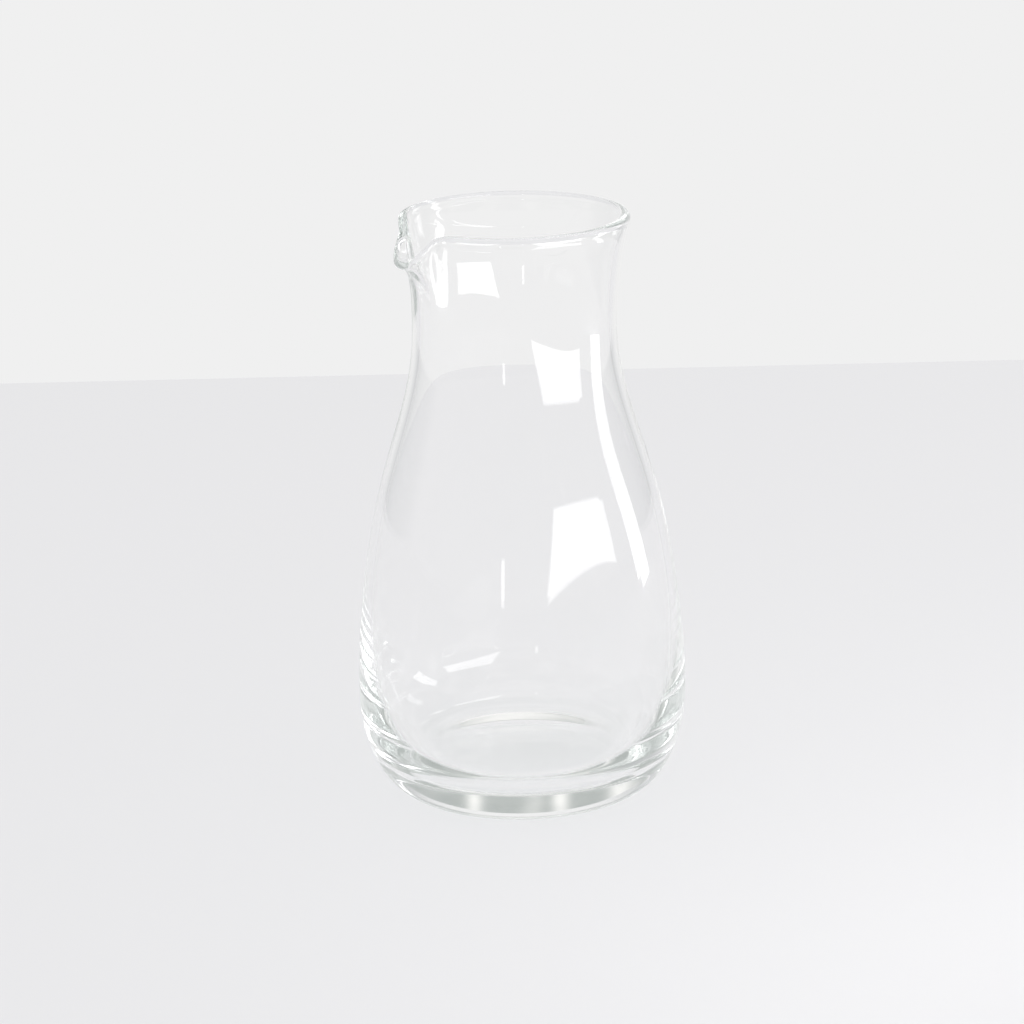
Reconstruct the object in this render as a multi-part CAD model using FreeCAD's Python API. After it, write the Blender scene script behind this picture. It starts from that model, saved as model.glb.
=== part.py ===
import FreeCAD, Part
import math
import os

from FreeCAD import Vector

# Sake carafe of clear glass, one piece: a wide belly on a thick foot, a waisted neck, and a
# fire-polished rim that is drawn out and pinched into a pouring lip. Millimetres and degrees.
# The origin is the middle of the foot on the table, +Z is up, and the lip points along -X.

# ---- Driving dimensions ---------------------------------------------------------------------

# The body, measured over the outside of the glass.
HEIGHT = 145.0  # table to the top of the rim bead
BELLY_DIAMETER = 81.4  # widest part
BELLY_HEIGHT = 25.0  # table to the widest part
SHOULDER_DIAMETER = 66.6  # half-way up the slope between belly and neck
SHOULDER_BELOW_WAIST = 38.0  # the same place, measured down from the neck's waist
SHOULDER_LEAN = 15.5  # the slope there, from the vertical
WAIST_DIAMETER = 49.6  # narrowest part of the neck
WAIST_BELOW_RIM = 27.0  # the same place, measured down from the top of the rim
MOUTH_DIAMETER = 57.2  # over the rim bead
MOUTH_LEAN = 15.0  # lean of the wall just below the bead

# The foot.
FOOT_DIAMETER = 55.0  # outer edge of the flat ring that meets the table
FOOT_RING_WIDTH = 3.6
PUNT_DEPTH = 1.5  # height of the hollow under the foot at its middle
HEEL_SPREAD = 7.7  # how far the heel runs out level before it turns up
HEEL_RISE = 12.5  # how far below the belly the heel is already upright

# The glass.
NECK_WALL = 2.0
SHOULDER_WALL = 2.3
RIM_BEAD = 2.8  # thickness of the fire-polished bead
BELLY_WALL = 3.2  # from the widest part of the outside in to the widest part of the inside
HOLLOW_HEIGHT = 36.0  # table to the widest part of the inside; below it the wall thickens
FLOOR_THICKNESS = 8.5  # table to the inner floor
FLOOR_DIAMETER = 46.0  # level part of the inner floor
FLOOR_SPREAD = 9.0  # how far the inner heel runs out level before it turns up
FLOOR_RISE = 20.0  # how far below its widest part the inside is already upright

# The pouring lip, measured at the middle of the rim bead.
LIP_DROP = 8.4  # how far the tip hangs below the round rim
LIP_ANGLE = 23.0  # from the tip round to the steep sides of the dip
LIP_BEAD = 1.9  # thickness of the bead at the tip, where the glass is drawn thin
LIP_WALL = 1.6  # thickness of the wall just below it
BEAK_REACH = 1.4  # how far the tip stands out past the round rim
BEAK_ANGLE = 14.0  # half-angle of the part that is drawn out
BEAK_LEAN = 76.0  # lean of the wall at the tip
BEAK_ROOT = 5.5  # length of the bend that turns the wall out into the tip
PINCH_DEPTH = 1.1  # how far each side of the lip is pressed in at the rim
CREASE_DEPTH = 0.6  # how far the wall below is pressed in
PINCH_ANGLE = 23.5  # from the tip round to each pinch
PINCH_WIDTH = 6.5  # half-angle of a pinch

# ---- Shape of the curves --------------------------------------------------------------------

# Lengths of the curves' handles, as shares of the height that each curve spans.
BELLY_FULLNESS = 0.30
SHOULDER_FULLNESS = 0.33
WAIST_FULLNESS = 0.37
MOUTH_FULLNESS = 0.31

# The net of poles that carries the mouth's skin.
COLUMNS = 80
WALL_ROWS = 7
BEAD_ROWS = 9
BEAD_ARC = 250.0  # how much of the bead's circle stands clear of the wall
DEGREE = 3
TURN_STEP = 0.001  # the small angle over which the way round the mouth is measured

JOIN_TOLERANCE = 0.001

UP = Vector(0, 0, 1)


def radius(diameter):
    return diameter / 2.0


def blend(start, end, share):
    return start + (end - start) * share


def waist_height():
    return HEIGHT - WAIST_BELOW_RIM


def bezier(points):
    """The edge of a Bezier curve through the X-Z plane."""
    curve = Part.BezierCurve()
    curve.setPoles([Vector(x, 0, z) for x, z in points])
    return curve.toShape()


# ---- The body: everything below the neck's waist --------------------------------------------


def side_edges(belly, belly_height, shoulder, waist):
    """The side from its widest part up to the neck's waist, through three radii."""
    shoulder_height = waist_height() - SHOULDER_BELOW_WAIST
    lower_span = shoulder_height - belly_height
    slope_x = math.sin(math.radians(SHOULDER_LEAN))
    slope_z = math.cos(math.radians(SHOULDER_LEAN))
    below = SHOULDER_FULLNESS * lower_span
    above = WAIST_FULLNESS * SHOULDER_BELOW_WAIST
    lower = bezier([
        (belly, belly_height),
        (belly, belly_height + BELLY_FULLNESS * lower_span),
        (shoulder + slope_x * below, shoulder_height - slope_z * below),
        (shoulder, shoulder_height),
    ])
    upper = bezier([
        (shoulder, shoulder_height),
        (shoulder - slope_x * above, shoulder_height + slope_z * above),
        (waist, waist_height() - above),
        (waist, waist_height()),
    ])
    return [lower, upper]


def outer_edges():
    """The outside, from the middle of the punt to the neck's waist."""
    belly = radius(BELLY_DIAMETER)
    foot = radius(FOOT_DIAMETER)
    punt = foot - FOOT_RING_WIDTH
    half_way = Vector(punt / 2.0, 0, PUNT_DEPTH * 0.75)
    hollow = Part.Arc(Vector(0, 0, PUNT_DEPTH), half_way, Vector(punt, 0, 0)).toShape()
    ring = Part.makeLine(Vector(punt, 0, 0), Vector(foot, 0, 0))
    heel = bezier([
        (foot, 0),
        (foot + HEEL_SPREAD, 0),
        (belly, BELLY_HEIGHT - HEEL_RISE),
        (belly, BELLY_HEIGHT),
    ])
    shoulder = radius(SHOULDER_DIAMETER)
    waist = radius(WAIST_DIAMETER)
    return [hollow, ring, heel] + side_edges(belly, BELLY_HEIGHT, shoulder, waist)


def inner_edges():
    """The inside, from the middle of the floor to the neck's waist."""
    widest = radius(BELLY_DIAMETER) - BELLY_WALL
    shoulder = radius(SHOULDER_DIAMETER) - SHOULDER_WALL
    waist = radius(WAIST_DIAMETER) - NECK_WALL
    floor = radius(FLOOR_DIAMETER)
    level = Part.makeLine(Vector(0, 0, FLOOR_THICKNESS), Vector(floor, 0, FLOOR_THICKNESS))
    heel = bezier([
        (floor, FLOOR_THICKNESS),
        (floor + FLOOR_SPREAD, FLOOR_THICKNESS),
        (widest, HOLLOW_HEIGHT - FLOOR_RISE),
        (widest, HOLLOW_HEIGHT),
    ])
    return [level, heel] + side_edges(widest, HOLLOW_HEIGHT, shoulder, waist)


def body():
    """The section of the glass, turned about the axis."""
    middle = Part.makeLine(Vector(0, 0, PUNT_DEPTH), Vector(0, 0, FLOOR_THICKNESS))
    top = Part.makeLine(
        Vector(radius(WAIST_DIAMETER) - NECK_WALL, 0, waist_height()),
        Vector(radius(WAIST_DIAMETER), 0, waist_height()),
    )
    section = Part.Face(Part.Wire(outer_edges() + [top] + inner_edges()[::-1] + [middle]))
    return section.revolve(Vector(0, 0, 0), UP, 360)


# ---- The mouth: the neck above its waist, the rim and the pouring lip -----------------------


def bell(angle, half_width):
    """1 at no angle, falling softly to nothing past about twice the half-width."""
    return math.exp(-(angle / half_width) ** 2)


def dip(angle, half_width):
    """1 at no angle, falling later and more steeply than a bell."""
    return math.exp(-abs(angle / half_width) ** 3)


def middle_curve(angle):
    """The middle of the wall, an angle away from the lip, from the waist up to the bead."""
    beak = bell(angle, BEAK_ANGLE)
    pinch = bell(angle - PINCH_ANGLE, PINCH_WIDTH) + bell(angle + PINCH_ANGLE, PINCH_WIDTH)
    waist = radius(WAIST_DIAMETER) - NECK_WALL / 2.0
    rim = radius(MOUTH_DIAMETER - RIM_BEAD) + BEAK_REACH * beak
    rim_height = HEIGHT - RIM_BEAD / 2.0 - LIP_DROP * dip(angle, LIP_ANGLE)
    lean = math.radians(blend(MOUTH_LEAN, BEAK_LEAN, beak))
    handle = MOUTH_FULLNESS * WAIST_BELOW_RIM
    bend = blend(handle, BEAK_ROOT, beak)
    below_rim = rim - bend * math.sin(lean) - CREASE_DEPTH * pinch
    outline = [
        (waist, waist_height()),
        (waist, waist_height() + handle),
        (below_rim, rim_height - bend * math.cos(lean)),
        (rim - PINCH_DEPTH * pinch, rim_height),
    ]
    turn = math.radians(angle)
    middle = Part.BezierCurve()
    middle.setPoles([Vector(-r * math.cos(turn), -r * math.sin(turn), z) for r, z in outline])
    return middle


def wall_frame(angle, rise):
    """A point in the middle of the wall, with unit vectors out of the wall and up along it."""
    middle = middle_curve(angle)
    ahead = middle_curve(angle + TURN_STEP).value(rise)
    behind = middle_curve(angle - TURN_STEP).value(rise)
    along = ahead - behind
    out = along.cross(middle.tangent(rise)[0])
    out.normalize()
    up = out.cross(along)
    up.normalize()
    return middle.value(rise), out, up


def mouth_column(angle):
    """The net's poles up the outside, over the bead and down the inside, at one angle."""
    thinned = bell(angle, LIP_ANGLE)
    outside = []
    inside = []
    for row in range(WALL_ROWS):
        rise = row / WALL_ROWS
        middle, out = wall_frame(angle, rise)[:2]
        half_wall = blend(NECK_WALL, LIP_WALL, thinned * rise) / 2.0
        outside.append(middle + out * half_wall)
        inside.append(middle - out * half_wall)
    middle, out, up = wall_frame(angle, 1.0)
    bead_radius = blend(RIM_BEAD, LIP_BEAD, thinned) / 2.0
    bead = []
    for row in range(BEAD_ROWS):
        turn = math.radians(90.0 + BEAD_ARC * (row / (BEAD_ROWS - 1) - 0.5))
        bead.append(middle + (out * math.cos(turn) + up * math.sin(turn)) * bead_radius)
    return outside + bead + inside[::-1]


def mouth_skin():
    """Outside, bead and inside as one smooth face, closed round the axis."""
    step = 360.0 / COLUMNS
    # A ring of poles carries its curve a little inside itself, which this makes up for.
    ease = (2.0 + math.cos(math.radians(step))) / 3.0
    net = []
    for column in range(COLUMNS):
        poles = mouth_column(180.0 - column * step)
        net.append([Vector(pole.x / ease, pole.y / ease, pole.z) for pole in poles])
    spans = len(net[0]) - DEGREE
    skin = Part.BSplineSurface()
    skin.buildFromPolesMultsKnots(
        net,
        [1] * (COLUMNS + 1),
        [DEGREE + 1] + [1] * (spans - 1) + [DEGREE + 1],
        list(range(COLUMNS + 1)),
        list(range(spans + 1)),
        True,
        False,
        DEGREE,
        DEGREE,
    )
    return skin.toShape()


def mouth():
    """The mouth's skin, closed at the waist by a level ring."""
    skin = mouth_skin()
    circles = [Part.Wire([edge]) for edge in skin.Edges if edge.isClosed()]
    circles.sort(key=lambda circle: circle.Length, reverse=True)
    shell = Part.Shell([skin, Part.Face(circles)])
    shell.sewShape()
    return Part.Solid(shell)


def carafe():
    """Foot to lip, as one piece of glass."""
    return body().fuse([mouth()], JOIN_TOLERANCE).Solids[0]


def main():
    os.makedirs("parts", exist_ok=True)
    carafe().exportStep("parts/carafe.step")


main()
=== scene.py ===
"""Sake carafe of clear glass: the looks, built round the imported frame. Metres and degrees."""
import logging
import math
from dataclasses import dataclass, field, fields
from enum import Enum
from typing import Any, Dict, List, Optional, Sequence, Tuple, Union

import bpy
from mathutils import Matrix, Vector


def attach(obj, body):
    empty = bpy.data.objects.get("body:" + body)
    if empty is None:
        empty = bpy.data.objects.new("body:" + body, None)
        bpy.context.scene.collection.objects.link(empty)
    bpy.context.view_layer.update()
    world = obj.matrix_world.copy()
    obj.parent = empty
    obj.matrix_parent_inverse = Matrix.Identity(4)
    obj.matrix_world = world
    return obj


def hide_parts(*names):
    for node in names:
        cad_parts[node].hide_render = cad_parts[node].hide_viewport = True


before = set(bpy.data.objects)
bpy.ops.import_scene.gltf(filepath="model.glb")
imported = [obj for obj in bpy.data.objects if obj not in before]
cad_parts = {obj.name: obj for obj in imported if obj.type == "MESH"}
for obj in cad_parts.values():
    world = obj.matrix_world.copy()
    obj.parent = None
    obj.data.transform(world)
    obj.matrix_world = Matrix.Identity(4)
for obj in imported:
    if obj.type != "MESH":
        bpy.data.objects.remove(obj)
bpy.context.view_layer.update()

logging.basicConfig(level=logging.INFO, format="%(message)s")
log = logging.getLogger("carafe")

Colour = Tuple[float, float, float]
Socket = bpy.types.NodeSocket

CURVE_STEPS = 96  # points along each run of the section
EARLY, LATE = 0.33, 0.67  # where the handles of a straight run stand along it
TURN_STEP = 0.5  # degrees over which the way round the mouth is measured
WELD = 0.00001  # metres within which two corners are one
PANE_GAP = 0.002  # metres from a window's pane for the glass to its pane for the table
VIEW_TURN = 19.0  # degrees from the part's -Y to the side that faces the camera


class Reach(Enum):
    """What the light of a window reaches: what the glass mirrors, or the table."""

    GLASS = "glass"
    TABLE = "table"


class Wall(Enum):
    """A face of the glass, and the way that its rows run along the section."""

    OUTER = "up"
    INNER = "down"


# ---- Arithmetic written as nodes ---------------------------------------------------------------


def feed(tree: bpy.types.NodeTree, socket: Socket, value: Any) -> None:
    """Gives a socket its value: a link from a field, or a plain number.

    Args:
        tree: The tree that holds the socket.
        socket: The input to feed.
        value: A Number, an Arrow, a socket or a plain value.
    """
    if isinstance(value, (Number, Arrow)):
        tree.links.new(value.socket, socket)
    elif isinstance(value, bpy.types.NodeSocket):
        tree.links.new(value, socket)
    else:
        socket.default_value = value


class Number:
    """A number that may differ from point to point of a tree's geometry."""

    def __init__(self, tree: bpy.types.NodeTree, socket: Socket) -> None:
        """Wraps an output socket of the tree."""
        self.tree = tree
        self.socket = socket

    def _apply(self, operation: str, *values: Any) -> "Number":
        """Adds a Math node.

        Args:
            operation: The node's operation.
            values: The node's inputs in order.

        Returns:
            The node's result.
        """
        node = self.tree.nodes.new("ShaderNodeMath")
        node.operation = operation
        for socket, value in zip(node.inputs, values):
            feed(self.tree, socket, value)
        return Number(self.tree, node.outputs[0])

    def __add__(self, other: "Operand") -> "Number":
        """The sum."""
        return self._apply("ADD", self, other)

    __radd__ = __add__

    def __sub__(self, other: "Operand") -> "Number":
        """The difference."""
        return self._apply("SUBTRACT", self, other)

    def __rsub__(self, other: "Operand") -> "Number":
        """The difference the other way round."""
        return self._apply("SUBTRACT", other, self)

    def __mul__(self, other: "Operand") -> "Number":
        """The product."""
        return self._apply("MULTIPLY", self, other)

    __rmul__ = __mul__

    def __truediv__(self, other: "Operand") -> "Number":
        """The quotient."""
        return self._apply("DIVIDE", self, other)

    def power(self, exponent: float) -> "Number":
        """The number to a power."""
        return self._apply("POWER", self, exponent)

    def magnitude(self) -> "Number":
        """The number without its sign."""
        return self._apply("ABSOLUTE", self)

    def floor(self) -> "Number":
        """The whole number below."""
        return self._apply("FLOOR", self)

    def least(self, other: "Operand") -> "Number":
        """The smaller of two."""
        return self._apply("MINIMUM", self, other)

    def most(self, other: "Operand") -> "Number":
        """The larger of two."""
        return self._apply("MAXIMUM", self, other)

    def exceeds(self, other: "Operand") -> "Number":
        """1 where the number is larger than the other, and else 0."""
        return self._apply("GREATER_THAN", self, other)

    def exponential(self) -> "Number":
        """e to the power of the number."""
        return self._apply("EXPONENT", self)

    def sine(self) -> "Number":
        """Sine of an angle in degrees."""
        return self._apply("SINE", self * math.radians(1.0))

    def cosine(self) -> "Number":
        """Cosine of an angle in degrees."""
        return self._apply("COSINE", self * math.radians(1.0))


Operand = Union[Number, float]


class Arrow:
    """A vector that may differ from point to point of a tree's geometry."""

    def __init__(self, tree: bpy.types.NodeTree, socket: Socket) -> None:
        """Wraps an output socket of the tree."""
        self.tree = tree
        self.socket = socket

    def _apply(self, operation: str, *values: Any) -> "Arrow":
        """Adds a Vector Math node.

        Args:
            operation: The node's operation.
            values: The node's vector inputs in order.

        Returns:
            The node's result.
        """
        node = self.tree.nodes.new("ShaderNodeVectorMath")
        node.operation = operation
        for socket, value in zip(node.inputs, values):
            feed(self.tree, socket, value)
        return Arrow(self.tree, node.outputs["Vector"])

    def __add__(self, other: "Arrow") -> "Arrow":
        """The sum."""
        return self._apply("ADD", self, other)

    def __sub__(self, other: "Arrow") -> "Arrow":
        """The difference."""
        return self._apply("SUBTRACT", self, other)

    def cross(self, other: "Arrow") -> "Arrow":
        """The cross product."""
        return self._apply("CROSS_PRODUCT", self, other)

    def unit(self) -> "Arrow":
        """The same direction with a length of one."""
        return self._apply("NORMALIZE", self)

    def times(self, factor: Operand) -> "Arrow":
        """The vector made longer by a factor.

        Args:
            factor: How many times as long.

        Returns:
            The longer vector.
        """
        node = self.tree.nodes.new("ShaderNodeVectorMath")
        node.operation = "SCALE"
        feed(self.tree, node.inputs[0], self)
        feed(self.tree, node.inputs["Scale"], factor)
        return Arrow(self.tree, node.outputs["Vector"])


def blend(start: Operand, end: Operand, share: Number) -> Number:
    """The value a share of the way from start to end."""
    return share * (end - start) + start


def bell(angle: Number, half_width: Operand) -> Number:
    """1 at no angle, falling softly to nothing past about twice the half-width."""
    return ((angle / half_width).power(2.0) * -1.0).exponential()


def dip(angle: Number, half_width: Operand) -> Number:
    """1 at no angle, falling later and more steeply than a bell."""
    return ((angle / half_width).magnitude().power(3.0) * -1.0).exponential()


class Rule:
    """A geometry tree whose sizes are named inputs."""

    def __init__(self, name: str) -> None:
        """Starts an empty tree with one geometry output.

        Args:
            name: The tree's name.
        """
        self.tree = bpy.data.node_groups.new(name, "GeometryNodeTree")
        self.tree.interface.new_socket("Geometry", in_out="OUTPUT", socket_type="NodeSocketGeometry")
        self.source = self.tree.nodes.new("NodeGroupInput")
        self.values: Dict[str, Any] = {}

    def node(self, kind: str, inputs: Optional[Dict[str, Any]] = None,
             **settings: Any) -> bpy.types.Node:
        """Adds a node.

        Args:
            kind: The node's type name.
            inputs: What feeds each named input.
            settings: The node's own properties.

        Returns:
            The new node.
        """
        node = self.tree.nodes.new(kind)
        for name, value in settings.items():
            setattr(node, name, value)
        for name, value in (inputs or {}).items():
            feed(self.tree, node.inputs[name], value)
        return node

    def size(self, name: str, value: Any, kind: str = "NodeSocketFloat") -> Number:
        """Adds a named input.

        Args:
            name: The input's name.
            value: What the modifier gives it.
            kind: The socket's type.

        Returns:
            The input as a number for the tree's arithmetic.
        """
        item = self.tree.interface.new_socket(name, in_out="INPUT", socket_type=kind)
        self.values[item.identifier] = value
        return Number(self.tree, self.source.outputs[name])

    def sizes(self, holder: Any) -> Dict[str, Number]:
        """Adds an input for every size that a dataclass holds.

        Args:
            holder: The dataclass instance.

        Returns:
            The inputs by field name.
        """
        return {
            item.name: self.size(
                item.name.replace("_", " ").capitalize(),
                getattr(holder, item.name),
                "NodeSocketInt" if item.type in (int, "int") else "NodeSocketFloat",
            )
            for item in fields(holder)
        }

    def arrow(self, x: Operand, y: Operand, z: Operand) -> Arrow:
        """A vector from its three numbers."""
        node = self.node("ShaderNodeCombineXYZ", {"X": x, "Y": y, "Z": z})
        return Arrow(self.tree, node.outputs[0])

    def make(self, name: str, geometry: Socket) -> bpy.types.Object:
        """Ends the tree, runs it once and keeps the plain mesh.

        Args:
            name: The piece's name.
            geometry: The tree's last socket.

        Returns:
            The piece, with no modifier left on it.
        """
        end = self.tree.nodes.new("NodeGroupOutput")
        self.tree.links.new(geometry, end.inputs[0])
        holder = bpy.data.objects.new(name, bpy.data.meshes.new(name + "_start"))
        bpy.context.scene.collection.objects.link(holder)
        modifier = holder.modifiers.new("rule", "NODES")
        modifier.node_group = self.tree
        for identifier, value in self.values.items():
            modifier[identifier] = value
        ready = holder.evaluated_get(bpy.context.evaluated_depsgraph_get())
        mesh = bpy.data.meshes.new_from_object(ready)
        holder.modifiers.remove(modifier)
        holder.data = mesh
        mesh.name = name
        return holder


# ---- The glass ---------------------------------------------------------------------------------


@dataclass(frozen=True)
class ClearGlass:
    """Soda-lime glass, all but colourless, with the faint waviness of a blown wall."""

    tint: Colour = (1.0, 1.0, 1.0)
    shade: Colour = (0.990, 0.993, 0.992)
    index: float = 1.51
    depth_colour: Colour = (0.93, 0.967, 0.95)
    depth_density: float = 2.0
    wave_scale: float = 60.0
    wave_detail: float = 1.0
    wave_strength: float = 0.02
    wave_height: float = 0.00004

    def material(self) -> bpy.types.Material:
        """Builds the node material.

        Returns:
            The material.
        """
        made = bpy.data.materials.new("clear_glass_look")
        made.use_nodes = True
        tree = made.node_tree
        glass = tree.nodes["Principled BSDF"]
        glass.inputs["Base Color"].default_value = (*self.tint, 1.0)
        glass.inputs["Roughness"].default_value = 0.0
        glass.inputs["IOR"].default_value = self.index
        glass.inputs["Transmission Weight"].default_value = 1.0
        feed(tree, glass.inputs["Normal"], self.waves(tree))
        depth = tree.nodes.new("ShaderNodeVolumeAbsorption")
        depth.inputs["Color"].default_value = (*self.depth_colour, 1.0)
        depth.inputs["Density"].default_value = self.depth_density
        end = tree.nodes["Material Output"]
        feed(tree, end.inputs["Volume"], depth.outputs["Volume"])
        path = tree.nodes.new("ShaderNodeLightPath")
        lamp = Number(tree, path.outputs["Is Shadow Ray"])
        lamp = (lamp + Number(tree, path.outputs["Is Diffuse Ray"])).least(1.0)
        clear = tree.nodes.new("ShaderNodeBsdfTransparent")
        clear.inputs["Color"].default_value = (*self.shade, 1.0)
        mix = tree.nodes.new("ShaderNodeMixShader")
        feed(tree, mix.inputs[0], lamp)
        feed(tree, mix.inputs[1], glass.outputs[0])
        feed(tree, mix.inputs[2], clear.outputs[0])
        feed(tree, end.inputs["Surface"], mix.outputs[0])
        return made

    def waves(self, tree: bpy.types.NodeTree) -> Socket:
        """The faint waviness that blowing leaves.

        Args:
            tree: The material's tree.

        Returns:
            The bent normal's socket.
        """
        place = tree.nodes.new("ShaderNodeTexCoord")
        wave = tree.nodes.new("ShaderNodeTexNoise")
        wave.inputs["Scale"].default_value = self.wave_scale
        wave.inputs["Detail"].default_value = self.wave_detail
        bump = tree.nodes.new("ShaderNodeBump")
        bump.inputs["Strength"].default_value = self.wave_strength
        bump.inputs["Distance"].default_value = self.wave_height
        feed(tree, wave.inputs["Vector"], place.outputs["Object"])
        feed(tree, bump.inputs["Height"], wave.outputs["Fac"])
        return bump.outputs["Normal"]


@dataclass(frozen=True)
class Body:
    """Foot, belly, shoulder and the neck up to its waist, turned about the axis."""

    belly_diameter: float = 0.0814
    belly_height: float = 0.025
    shoulder_diameter: float = 0.0666
    shoulder_height: float = 0.080
    shoulder_lean: float = 15.5
    waist_diameter: float = 0.0496
    waist_height: float = 0.118
    foot_diameter: float = 0.055
    foot_ring_width: float = 0.0036
    punt_depth: float = 0.0015
    punt_level: float = 0.4
    punt_turn: float = 0.7
    heel_spread: float = 0.0077
    heel_rise: float = 0.0125
    neck_wall: float = 0.0020
    shoulder_wall: float = 0.0023
    hollow_diameter: float = 0.0750
    hollow_height: float = 0.036
    floor_thickness: float = 0.0085
    floor_diameter: float = 0.046
    floor_spread: float = 0.009
    floor_rise: float = 0.020
    belly_fullness: float = 0.30
    shoulder_fullness: float = 0.33
    waist_fullness: float = 0.37

    def run(self, rule: Rule, outline: Sequence[Tuple[Operand, Operand]]) -> Socket:
        """A smooth run of the section.

        Args:
            rule: The tree.
            outline: Start, two handles and end, each a radius and a height.

        Returns:
            The curve's socket.
        """
        points = [rule.arrow(across, 0.0, up) for across, up in outline]
        names = ("Start", "Start Handle", "End Handle", "End")
        inputs = dict(zip(names, points), Resolution=CURVE_STEPS)
        curve = rule.node("GeometryNodeCurvePrimitiveBezierSegment", inputs, mode="POSITION")
        return curve.outputs[0]

    def side(self, rule: Rule, s: Dict[str, Number], belly: Number, low: Number,
             walls: Sequence[Operand]) -> List[Socket]:
        """The side from its widest part to the neck's waist.

        Args:
            rule: The tree.
            s: The sizes.
            belly: Radius of the widest part.
            low: Its height.
            walls: How far inside the outer face it runs at shoulder and waist.

        Returns:
            The lower and the upper run.
        """
        shoulder = s["shoulder_diameter"] / 2.0 - walls[0]
        waist = s["waist_diameter"] / 2.0 - walls[1]
        middle, high = s["shoulder_height"], s["waist_height"]
        below = s["shoulder_fullness"] * (middle - low)
        above = s["waist_fullness"] * (high - middle)
        slope_x = s["shoulder_lean"].sine()
        slope_z = s["shoulder_lean"].cosine()
        lower = [
            (belly, low),
            (belly, low + s["belly_fullness"] * (middle - low)),
            (shoulder + slope_x * below, middle - slope_z * below),
            (shoulder, middle),
        ]
        upper = [
            (shoulder, middle),
            (shoulder - slope_x * above, middle + slope_z * above),
            (waist, high - above),
            (waist, high),
        ]
        return [self.run(rule, lower), self.run(rule, upper)]

    def outside(self, rule: Rule, s: Dict[str, Number]) -> List[Socket]:
        """The outer runs, from the middle of the punt to the neck's waist.

        Args:
            rule: The tree.
            s: The sizes.

        Returns:
            The runs' curves in order.
        """
        foot = s["foot_diameter"] / 2.0
        punt = foot - s["foot_ring_width"]
        deep = s["punt_depth"]
        belly = s["belly_diameter"] / 2.0
        zero = foot * 0.0
        turn = s["punt_turn"]
        hollow = [(zero, deep), (punt * s["punt_level"], deep), (punt * turn, deep * turn),
                  (punt, zero)]
        ring = [(punt, zero), (blend(punt, foot, zero + EARLY), zero),
                (blend(punt, foot, zero + LATE), zero), (foot, zero)]
        heel = [(foot, zero), (foot + s["heel_spread"], zero),
                (belly, s["belly_height"] - s["heel_rise"]), (belly, s["belly_height"])]
        side = self.side(rule, s, belly, s["belly_height"], (0.0, 0.0))
        return [self.run(rule, run) for run in (hollow, ring, heel)] + side

    def inside(self, rule: Rule, s: Dict[str, Number]) -> List[Socket]:
        """The inner runs, from the middle of the floor to the neck's waist.

        Args:
            rule: The tree.
            s: The sizes.

        Returns:
            The runs' curves in order.
        """
        floor = s["floor_diameter"] / 2.0
        up = s["floor_thickness"]
        widest = s["hollow_diameter"] / 2.0
        level = [(floor * 0.0, up), (floor * EARLY, up), (floor * LATE, up), (floor, up)]
        heel = [(floor, up), (floor + s["floor_spread"], up),
                (widest, s["hollow_height"] - s["floor_rise"]), (widest, s["hollow_height"])]
        walls = (s["shoulder_wall"], s["neck_wall"])
        side = self.side(rule, s, widest, s["hollow_height"], walls)
        return [self.run(rule, level), self.run(rule, heel)] + side


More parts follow.
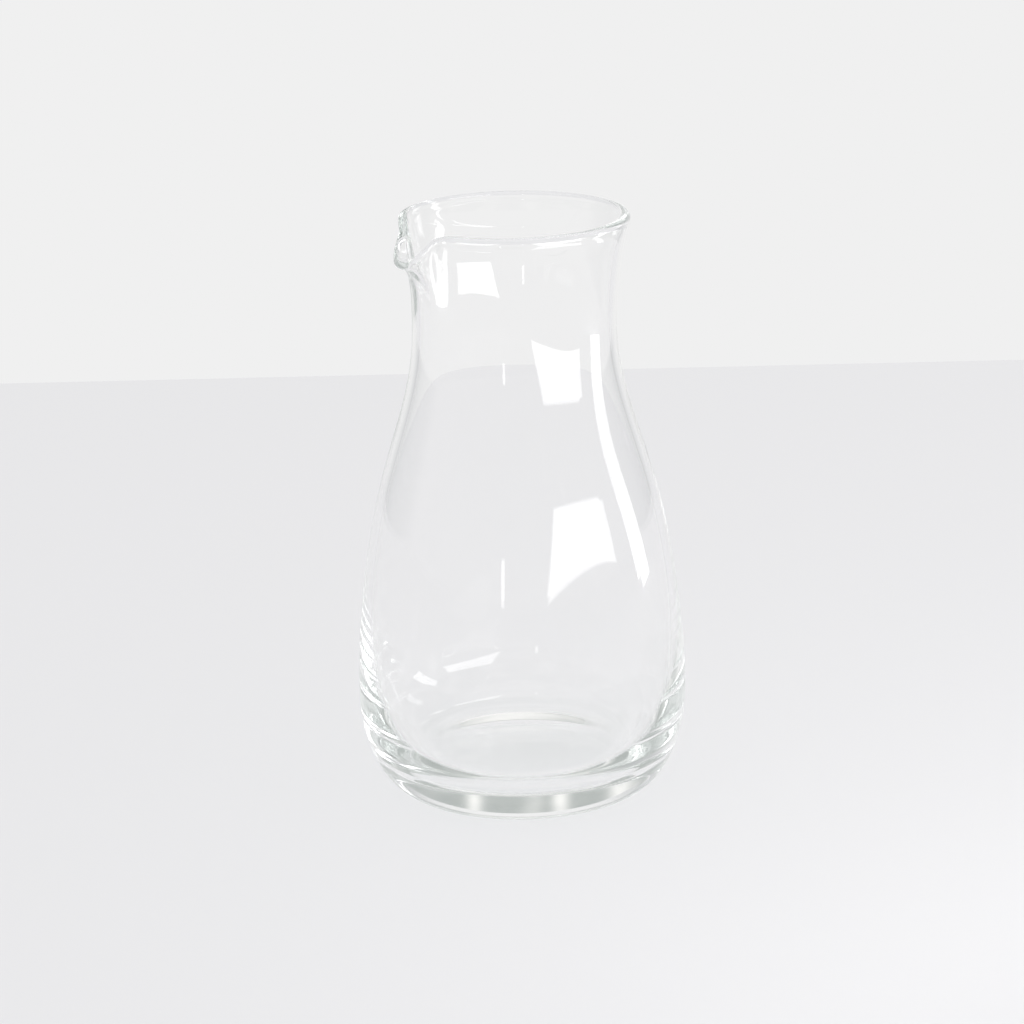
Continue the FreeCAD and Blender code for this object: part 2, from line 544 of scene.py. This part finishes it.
@dataclass(frozen=True)
class Mouth:
    """The neck above its waist, the fire-polished rim and the pouring lip."""

    height: float = 0.145
    mouth_diameter: float = 0.0572
    mouth_lean: float = 15.0
    mouth_fullness: float = 0.31
    rim_bead: float = 0.0028
    lip_drop: float = 0.0084
    lip_angle: float = 23.0
    lip_bead: float = 0.0019
    lip_wall: float = 0.0016
    beak_reach: float = 0.0014
    beak_angle: float = 14.0
    beak_lean: float = 76.0
    beak_root: float = 0.0055
    pinch_depth: float = 0.0011
    crease_depth: float = 0.0006
    pinch_angle: float = 23.5
    pinch_width: float = 6.5
    bead_arc: float = 250.0

    def middle(self, rule: Rule, s: Dict[str, Number], angle: Number, rise: Number) -> List[Arrow]:
        """The middle of the wall.

        Args:
            rule: The tree.
            s: The sizes of body and mouth.
            angle: Degrees away from the lip.
            rise: 0 at the waist, 1 in the bead.

        Returns:
            The point, and the direction up the wall.
        """
        beak = bell(angle, s["beak_angle"])
        pinch = bell(angle - s["pinch_angle"], s["pinch_width"])
        pinch = pinch + bell(angle + s["pinch_angle"], s["pinch_width"])
        waist = s["waist_diameter"] / 2.0 - s["neck_wall"] / 2.0
        rim = (s["mouth_diameter"] - s["rim_bead"]) / 2.0
        rim = rim + s["beak_reach"] * beak
        rim_height = s["height"] - s["rim_bead"] / 2.0 - s["lip_drop"] * dip(angle, s["lip_angle"])
        lean = blend(s["mouth_lean"], s["beak_lean"], beak)
        handle = s["mouth_fullness"] * (s["height"] - s["waist_height"])
        bend = blend(handle, s["beak_root"], beak)
        across = (waist, waist, rim - bend * lean.sine() - s["crease_depth"] * pinch,
                  rim - s["pinch_depth"] * pinch)
        up = (s["waist_height"], s["waist_height"] + handle,
              rim_height - bend * lean.cosine(), rim_height)
        left = 1.0 - rise
        shares = (left * left * left, left * left * rise * 3.0,
                  left * rise * rise * 3.0, rise * rise * rise)
        pulls = (left * left, left * rise * 2.0, rise * rise)
        radius, tall = [sum((a * b for a, b in zip(shares, line)), 0.0) for line in (across, up)]
        slope, climb = [
            sum((pull * (line[i + 1] - line[i]) for i, pull in enumerate(pulls)), 0.0)
            for line in (across, up)
        ]
        east, north = angle.cosine() * -1.0, angle.sine() * -1.0
        point = rule.arrow(radius * east, radius * north, tall)
        return [point, rule.arrow(slope * east, slope * north, climb)]

    def place(self, rule: Rule, s: Dict[str, Number], angle: Number, row: Number,
              rows: "Net") -> Arrow:
        """A corner of the mouth's net: up the outside, over the bead and down the inside.

        Args:
            rule: The tree.
            s: The sizes of body and mouth.
            angle: Degrees away from the lip.
            row: The corner's row.
            rows: How many rows the net has.

        Returns:
            The corner's place.
        """
        last = rows.mouth_rows - 1
        rise = (row.least(last - row) / rows.wall_rows).least(1.0)
        on_bead = rise.exceeds(1.0 - 0.5 / rows.wall_rows)
        inner = row.exceeds(last / 2.0)
        ahead = self.middle(rule, s, angle + TURN_STEP, rise)[0]
        behind = self.middle(rule, s, angle - TURN_STEP, rise)[0]
        point, climb = self.middle(rule, s, angle, rise)
        along = ahead - behind
        out = along.cross(climb).unit()
        up = out.cross(along).unit()
        thinned = bell(angle, s["lip_angle"])
        half_wall = blend(s["neck_wall"], s["lip_wall"], thinned * rise) / 2.0
        half_wall = half_wall * (1.0 - inner * 2.0)
        bead = blend(s["rim_bead"], s["lip_bead"], thinned) / 2.0
        turn = (row - last / 2.0) / (rows.bead_rows - 1) * s["bead_arc"] + 90.0
        outwards = blend(half_wall, bead * turn.cosine(), on_bead)
        upwards = bead * turn.sine() * on_bead
        return point + out.times(outwards) + up.times(upwards)


@dataclass(frozen=True)
class Net:
    """How finely the skin is laid out before it is rounded."""

    columns: int = 64
    crowding: float = 0.42
    wall_rows: int = 7
    bead_rows: int = 9
    rounding: int = 2
    outer_rows: Tuple[int, ...] = (5, 3, 9, 12, 9)
    inner_rows: Tuple[int, ...] = (5, 11, 11, 9)

    @property
    def mouth_rows(self) -> int:
        """Rows of the mouth's net, both walls and the bead."""
        return 2 * self.wall_rows + self.bead_rows

    def spread(self, column: Number) -> Tuple[Number, Number]:
        """Where a column stands, closer to its neighbours the nearer it is to the lip.

        Args:
            column: The column's number.

        Returns:
            Its angle away from the lip, and how much rounding shrinks a ring there.
        """
        step = 360.0 / self.columns
        even = 180.0 - column * step
        angle = even - even.sine() * math.degrees(self.crowding)
        local = (1.0 - even.cosine() * self.crowding) * step
        return angle, (local.cosine() + 2.0) / 3.0


@dataclass
class Carafe:
    """The whole carafe, one piece of glass."""

    body: Body = field(default_factory=Body)
    mouth: Mouth = field(default_factory=Mouth)
    net: Net = field(default_factory=Net)
    glass: ClearGlass = field(default_factory=ClearGlass)

    def grid(self, rule: Rule, rows: int) -> Tuple[Socket, Number, Number, Number]:
        """A flat net.

        Args:
            rule: The tree.
            rows: Corners along the section.

        Returns:
            The net's socket, each corner's row, its angle away from the lip, and its ease.
        """
        around = self.net.columns + 1
        inputs = {"Vertices X": rows, "Vertices Y": around}
        grid = rule.node("GeometryNodeMeshGrid", inputs)
        index = Number(rule.tree, rule.node("GeometryNodeInputIndex").outputs[0])
        row = ((index + 0.5) / float(around)).floor()
        column = index - row * float(around)
        return (grid.outputs["Mesh"], row, *self.net.spread(column))

    def turned(self, rule: Rule, curve: Socket, rows: int, wall: Wall) -> Socket:
        """A run of the section turned about the axis.

        Args:
            rule: The tree.
            curve: The run's curve, from its lower end.
            rows: Corners along the run.
            wall: Which face of the glass the run belongs to.

        Returns:
            The socket of the turned net.
        """
        net, row, angle, ease = self.grid(rule, rows)
        share = row / float(rows - 1)
        if wall is Wall.INNER:
            share = 1.0 - share
        sample = rule.node(
            "GeometryNodeSampleCurve", {"Curves": curve, "Factor": share},
            mode="FACTOR", use_all_curves=True,
        )
        split = rule.node("ShaderNodeSeparateXYZ", {"Vector": sample.outputs["Position"]})
        radius = Number(rule.tree, split.outputs["X"]) / ease
        place = rule.arrow(
            radius * (angle.cosine() * -1.0), radius * (angle.sine() * -1.0),
            Number(rule.tree, split.outputs["Z"]),
        )
        moved = rule.node("GeometryNodeSetPosition", {"Geometry": net, "Position": place})
        return moved.outputs[0]

    def lip_net(self, rule: Rule, s: Dict[str, Number]) -> Socket:
        """The mouth's net, in place.

        Args:
            rule: The tree.
            s: The sizes of body and mouth.

        Returns:
            The net's socket.
        """
        net, row, angle, ease = self.grid(rule, self.net.mouth_rows)
        place = self.mouth.place(rule, s, angle, row, self.net)
        split = rule.node("ShaderNodeSeparateXYZ", {"Vector": place})
        x, y, z = (Number(rule.tree, socket) for socket in split.outputs)
        place = rule.arrow(x / ease, y / ease, z)
        moved = rule.node("GeometryNodeSetPosition", {"Geometry": net, "Position": place})
        return moved.outputs[0]

    def build(self) -> bpy.types.Object:
        """Makes the glass and dresses it.

        Returns:
            The piece.
        """
        rule = Rule("carafe_skin")
        s = {**rule.sizes(self.body), **rule.sizes(self.mouth)}
        material = self.glass.material()
        runs = [
            self.turned(rule, curve, rows, Wall.OUTER)
            for curve, rows in zip(self.body.outside(rule, s), self.net.outer_rows)
        ]
        runs.append(self.lip_net(rule, s))
        runs += [
            self.turned(rule, curve, rows, Wall.INNER)
            for curve, rows in zip(self.body.inside(rule, s), self.net.inner_rows)
        ]
        join = rule.node("GeometryNodeJoinGeometry")
        for run in runs:
            rule.tree.links.new(run, join.inputs[0])
        weld = rule.node(
            "GeometryNodeMergeByDistance", {"Geometry": join.outputs[0], "Distance": WELD}
        )
        level = rule.size("Rounding", self.net.rounding, "NodeSocketInt")
        smooth = rule.node(
            "GeometryNodeSubdivisionSurface", {"Mesh": weld.outputs[0], "Level": level}
        )
        shade = rule.node("GeometryNodeSetShadeSmooth", {"Geometry": smooth.outputs[0]})
        real = rule.node("GeometryNodeRealizeInstances", {"Geometry": shade.outputs[0]})
        dressed = rule.node(
            "GeometryNodeSetMaterial", {"Geometry": real.outputs[0], "Material": material}
        )
        piece = rule.make("carafe_glass", dressed.outputs[0])
        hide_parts("carafe")
        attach(piece, "root")
        log.info("%s: %d faces", piece.name, len(piece.data.polygons))
        return piece


# ---- The studio --------------------------------------------------------------------------------


def toward(right: float, up: float) -> Vector:
    """A direction seen from the carafe.

    Args:
        right: Degrees to the right of the camera, as the camera sees it.
        up: Degrees above level.

    Returns:
        The unit vector.
    """
    turn = math.radians(VIEW_TURN - right)
    level = math.cos(math.radians(up))
    return Vector((-math.sin(turn) * level, -math.cos(turn) * level, math.sin(math.radians(up))))


FRONT, RIGHT, BACK = (toward(right, 0.0) for right in (0.0, 90.0, 180.0))


@dataclass(frozen=True)
class Viewpoint:
    """The camera: a long lens, a little above the rim."""

    right: float = -0.0016
    away: float = 0.8824
    height: float = 0.3345
    pitch: float = 16.68
    roll: float = -1.335
    lens: float = 131.55
    sensor: float = 36.0
    nearest: float = 0.01

    def build(self) -> None:
        """Makes the camera and hands it to the scene."""
        data = bpy.data.cameras.new("viewpoint")
        data.lens = self.lens
        data.sensor_width = self.sensor
        data.clip_start = self.nearest
        camera = bpy.data.objects.new("viewpoint", data)
        bpy.context.scene.collection.objects.link(camera)
        place = FRONT * self.away + RIGHT * self.right
        place.z = self.height
        turn = Matrix.Rotation(math.radians(-VIEW_TURN), 4, "Z")
        tilt = Matrix.Rotation(math.radians(90.0 - self.pitch), 4, "X")
        spin = Matrix.Rotation(math.radians(self.roll), 4, "Z")
        camera.matrix_world = Matrix.Translation(place) @ turn @ tilt @ spin
        bpy.context.scene.camera = camera
        log.info("%s: %.1f mm lens", camera.name, self.lens)


@dataclass(frozen=True)
class Outline:
    """The shape of a window's bright part, in shares of the pane's width and height."""

    left_foot: float = 0.0
    left_head: float = 0.0
    head_slope: float = 0.0
    sill_height: float = 0.0
    sill_sag: float = 0.0
    sill_crown: float = 0.5
    softness: float = 0.03

    def share(self, tree: bpy.types.NodeTree, across: Number, up: Number) -> Number:
        """1 inside the outline, 0 outside.

        Args:
            tree: The lamp's tree; not used.
            across: Share of the width, from the carafe's left.
            up: Share of the height.

        Returns:
            How bright the pane is there, with a soft edge.
        """
        off = across - self.sill_crown
        sill = self.sill_height - off * off * self.sill_sag
        left = blend(self.left_foot, self.left_head, up)
        head = 1.0 - across * self.head_slope
        inside = (up - sill).least(head - up).least(across - left).least(1.0 - across)
        return (inside / self.softness).least(1.0).most(0.0)


@dataclass(frozen=True)
class Window:
    """A bright pane whose reflection shows in the glass."""

    name: str
    right: float
    distance: float
    height: float
    width: float
    tall: float
    radiance: float
    tilt: float = 0.0
    shift: float = 0.0
    lean: float = 0.0
    on_table: float = 1.0
    outline: Outline = Outline()

    def build(self) -> None:
        """Hangs the pane facing the carafe, once for the glass and once for the table."""
        for reach in Reach:
            self.hang(reach)

    def lamp(self, name: str, reach: Reach) -> bpy.types.Light:
        """Makes the pane's lamp, bright inside the outline only.

        Args:
            name: The lamp's name.
            reach: What its light reaches.

        Returns:
            The lamp.
        """
        data = bpy.data.lights.new(name, "AREA")
        data.shape = "RECTANGLE"
        data.size = self.width
        data.size_y = self.tall
        data.energy = self.radiance * math.pi * self.width * self.tall
        data.use_nodes = True
        tree = data.node_tree
        where = tree.nodes.new("ShaderNodeNewGeometry").outputs["Parametric"]
        split = tree.nodes.new("ShaderNodeSeparateXYZ")
        feed(tree, split.inputs[0], where)
        across, up = (Number(tree, split.outputs[axis]) for axis in ("X", "Y"))
        share: Operand = self.on_table
        if reach is Reach.GLASS:
            path = tree.nodes.new("ShaderNodeLightPath")
            share = Number(tree, path.outputs["Glossy Depth"]).least(1.0)
        strength = self.outline.share(tree, across, up) * share
        feed(tree, tree.nodes["Emission"].inputs["Strength"], strength)
        return data

    def hang(self, reach: Reach) -> None:
        """Hangs the pane for one use.

        Args:
            reach: What its light reaches.
        """
        name = f"{self.name}_{reach.value}"
        pane = bpy.data.objects.new(name, self.lamp(name, reach))
        bpy.context.scene.collection.objects.link(pane)
        away = self.distance if reach is Reach.GLASS else self.distance + PANE_GAP
        place = toward(self.right, 0.0) * away + toward(self.right + 90.0, 0.0) * self.shift
        place.z = self.height
        look = toward(self.right, self.tilt).to_track_quat("Z", "Y").to_matrix().to_4x4()
        spin = Matrix.Rotation(math.radians(self.lean), 4, "Z")
        pane.matrix_world = Matrix.Translation(place) @ look @ spin
        pane.visible_camera = False
        pane.visible_diffuse = reach is Reach.TABLE
        pane.visible_glossy = reach is Reach.GLASS
        pane.visible_transmission = reach is Reach.GLASS
        log.info("%s: %.3f by %.3f m", name, self.width, self.tall)


@dataclass(frozen=True)
class TableTop:
    """Matt white laminate, a touch cold."""

    colour: Colour = (0.792, 0.790, 0.802)
    roughness: float = 1.0
    specular: float = 0.0

    def material(self) -> bpy.types.Material:
        """Builds the node material.

        Returns:
            The material.
        """
        made = bpy.data.materials.new("table_top")
        made.use_nodes = True
        top = made.node_tree.nodes["Principled BSDF"]
        top.inputs["Base Color"].default_value = (*self.colour, 1.0)
        top.inputs["Roughness"].default_value = self.roughness
        top.inputs["Specular IOR Level"].default_value = self.specular
        return made


@dataclass(frozen=True)
class Floor:
    """The pale table top."""

    behind: float = 0.408
    half_width: float = 2.5
    before: float = 2.5
    finish: TableTop = TableTop()

    def build(self) -> None:
        """Lays the floor."""
        far, near, side = BACK * self.behind, FRONT * self.before, RIGHT * self.half_width
        mesh = bpy.data.meshes.new("floor")
        corners = [near - side, near + side, far + side, far - side]
        mesh.from_pydata([tuple(corner) for corner in corners], [], [(0, 1, 2, 3)])
        floor = bpy.data.objects.new("floor", mesh)
        bpy.context.scene.collection.objects.link(floor)
        mesh.materials.append(self.finish.material())
        log.info("%s: %.1f m wide", floor.name, 2.0 * self.half_width)


@dataclass(frozen=True)
class Glow:
    """A soft light or a dark spot in the room, seen only in and through the glass."""

    right: float
    up: float
    spread: float
    strength: float = 1.0

    def share(self, tree: bpy.types.NodeTree, direction: Socket) -> Number:
        """How much of the glow a direction meets.

        Args:
            tree: The world's tree.
            direction: The socket of the direction.

        Returns:
            The glow's strength in the middle, falling to nothing round it.
        """
        node = tree.nodes.new("ShaderNodeVectorMath")
        node.operation = "DISTANCE"
        feed(tree, node.inputs[0], direction)
        feed(tree, node.inputs[1], toward(self.right, self.up))
        off = Number(tree, node.outputs["Value"])
        return bell(off, math.radians(self.spread)) * self.strength


@dataclass(frozen=True)
class Room:
    """What the glass reflects and bends into view: a pale backdrop under a duller room."""

    backdrop: Colour = (0.871, 0.871, 0.871)
    beside: Colour = (0.55, 0.56, 0.57)
    beside_from: float = 0.35
    beside_full: float = 0.75
    behind_full: float = 0.3
    dull: Colour = (0.44, 0.47, 0.455)
    bright: Colour = (1.0, 0.995, 0.97)
    backdrop_top: float = 0.31
    room_foot: float = 0.36
    ceiling_foot: float = 0.80
    ceiling_top: float = 0.92
    ceiling_share: float = 1.0
    patch_scale: float = 2.6
    patch_detail: float = 1.5
    dull_below: float = 0.49
    bright_above: float = 0.72
    fill: float = 1.0
    glows: Tuple[Glow, ...] = (
        Glow(right=164.5, up=22.0, spread=2.5),
        Glow(right=-169.6, up=22.0, spread=2.5),
        Glow(right=-148.0, up=20.0, spread=4.5),
        Glow(right=-140.0, up=71.0, spread=9.0, strength=-1.0),
    )

    def look(self, tree: bpy.types.NodeTree) -> Socket:
        """The room's colour in each direction.

        Args:
            tree: The world's tree.

        Returns:
            The colour's socket.
        """
        place = tree.nodes.new("ShaderNodeTexCoord").outputs["Generated"]
        split = tree.nodes.new("ShaderNodeSeparateXYZ")
        feed(tree, split.inputs[0], place)
        patches = tree.nodes.new("ShaderNodeTexNoise")
        patches.inputs["Scale"].default_value = self.patch_scale
        patches.inputs["Detail"].default_value = self.patch_detail
        feed(tree, patches.inputs["Vector"], place)
        light = self.step(tree, patches.outputs["Fac"], self.dull_below, self.bright_above)
        ceiling = self.step(tree, split.outputs["Z"], self.ceiling_foot, self.ceiling_top)
        light = light + ceiling * self.ceiling_share
        for glow in self.glows:
            light = light + glow.share(tree, place)
        room = self.mix(tree, light.least(1.0).most(0.0), self.dull, self.bright)
        sideways = self.along(tree, place, RIGHT).magnitude()
        beside = self.step(tree, sideways, self.beside_from, self.beside_full)
        away = self.along(tree, place, BACK)
        beside = beside * self.step(tree, away, 0.0, self.behind_full)
        low = self.mix(tree, beside, self.backdrop, self.beside)
        above = self.step(tree, split.outputs["Z"], self.backdrop_top, self.room_foot)
        return self.mix(tree, above, low, room)

    def along(self, tree: bpy.types.NodeTree, direction: Socket, axis: Vector) -> Number:
        """How far a direction goes along an axis.

        Args:
            tree: The world's tree.
            direction: The socket of the direction.
            axis: The axis.

        Returns:
            1 along the axis, 0 across it and -1 against it.
        """
        node = tree.nodes.new("ShaderNodeVectorMath")
        node.operation = "DOT_PRODUCT"
        feed(tree, node.inputs[0], direction)
        feed(tree, node.inputs[1], axis)
        return Number(tree, node.outputs["Value"])

    def step(self, tree: bpy.types.NodeTree, value: Any, low: float, high: float) -> Number:
        """A soft change from 0 to 1.

        Args:
            tree: The world's tree.
            value: What changes.
            low: Its value where the step starts.
            high: Its value where the step is done.

        Returns:
            0 up to the low end, 1 from the high end on.
        """
        node = tree.nodes.new("ShaderNodeMapRange")
        node.interpolation_type = "SMOOTHSTEP"
        node.inputs["From Min"].default_value = low
        node.inputs["From Max"].default_value = high
        feed(tree, node.inputs["Value"], value)
        return Number(tree, node.outputs["Result"])

    def mix(self, tree: bpy.types.NodeTree, share: Number, first: Any, second: Any) -> Socket:
        """A colour between two.

        Args:
            tree: The world's tree.
            share: How much of the second colour there is.
            first: A colour or a colour's socket.
            second: A colour or a colour's socket.

        Returns:
            The colour's socket.
        """
        node = tree.nodes.new("ShaderNodeMix")
        node.data_type = "RGBA"
        feed(tree, node.inputs["Factor"], share)
        for name, colour in (("A", first), ("B", second)):
            socket = next(i for i in node.inputs if i.name == name and i.type == "RGBA")
            feed(tree, socket, (*colour, 1.0) if isinstance(colour, tuple) else colour)
        return next(o for o in node.outputs if o.type == "RGBA")

    def build(self) -> None:
        """Makes the world: an even light, and the room for the rays that look at it."""
        world = bpy.data.worlds.new("surroundings")
        bpy.context.scene.world = world
        world.use_nodes = True
        tree = world.node_tree
        light = tree.nodes["Background"]
        light.inputs["Strength"].default_value = self.fill
        light.inputs["Color"].default_value = (1.0, 1.0, 1.0, 1.0)
        sight = tree.nodes.new("ShaderNodeBackground")
        path = tree.nodes.new("ShaderNodeLightPath")
        eye = Number(tree, path.outputs["Is Camera Ray"])
        feed(tree, sight.inputs["Color"], self.mix(tree, eye, self.look(tree), self.backdrop))
        seen = eye + Number(tree, path.outputs["Is Glossy Ray"])
        seen = (seen + Number(tree, path.outputs["Is Transmission Ray"])).least(1.0)
        mix = tree.nodes.new("ShaderNodeMixShader")
        feed(tree, mix.inputs[0], seen)
        feed(tree, mix.inputs[1], light.outputs[0])
        feed(tree, mix.inputs[2], sight.outputs[0])
        feed(tree, tree.nodes["World Output"].inputs["Surface"], mix.outputs[0])


@dataclass
class Studio:
    """Floor, surroundings and lamps."""

    floor: Floor = field(default_factory=Floor)
    room: Room = field(default_factory=Room)
    bounces: int = 128
    windows: Sequence[Window] = (
        Window(
            "main_window", right=38.1, distance=0.2575, height=0.0925, width=0.280, tall=0.100,
            radiance=4.0, tilt=-25.0, shift=0.0369, lean=-1.7, on_table=0.85,
            outline=Outline(
                left_foot=0.04, left_head=0.19, head_slope=0.10,
                sill_height=0.27, sill_sag=0.65, sill_crown=0.643,
            ),
        ),
        Window(
            "side_window", right=97.0, distance=0.50, height=0.09, width=0.078, tall=0.34,
            radiance=4.0, lean=30.0, on_table=0.5,
        ),
        Window(
            "slit", right=-12.5, distance=0.50, height=0.085, width=0.02, tall=0.066,
            radiance=3.0,
        ),
        Window(
            "far_window", right=125.0, distance=1.20, height=0.40, width=0.18, tall=0.60,
            radiance=1.6,
        ),
    )

    def build(self) -> None:
        """Sets the scene round the carafe."""
        self.room.build()
        log.info("surroundings: %d glows", len(self.room.glows))
        self.floor.build()
        for window in self.windows:
            window.build()
        bpy.context.scene.view_settings.view_transform = "Standard"
        cycles = bpy.context.scene.cycles
        cycles.max_bounces = self.bounces
        cycles.glossy_bounces = self.bounces
        cycles.transmission_bounces = self.bounces


def main() -> None:
    """Builds the carafe, the camera and the studio in turn."""
    Carafe().build()
    Viewpoint().build()
    Studio().build()


if __name__ == "__main__":
    main()
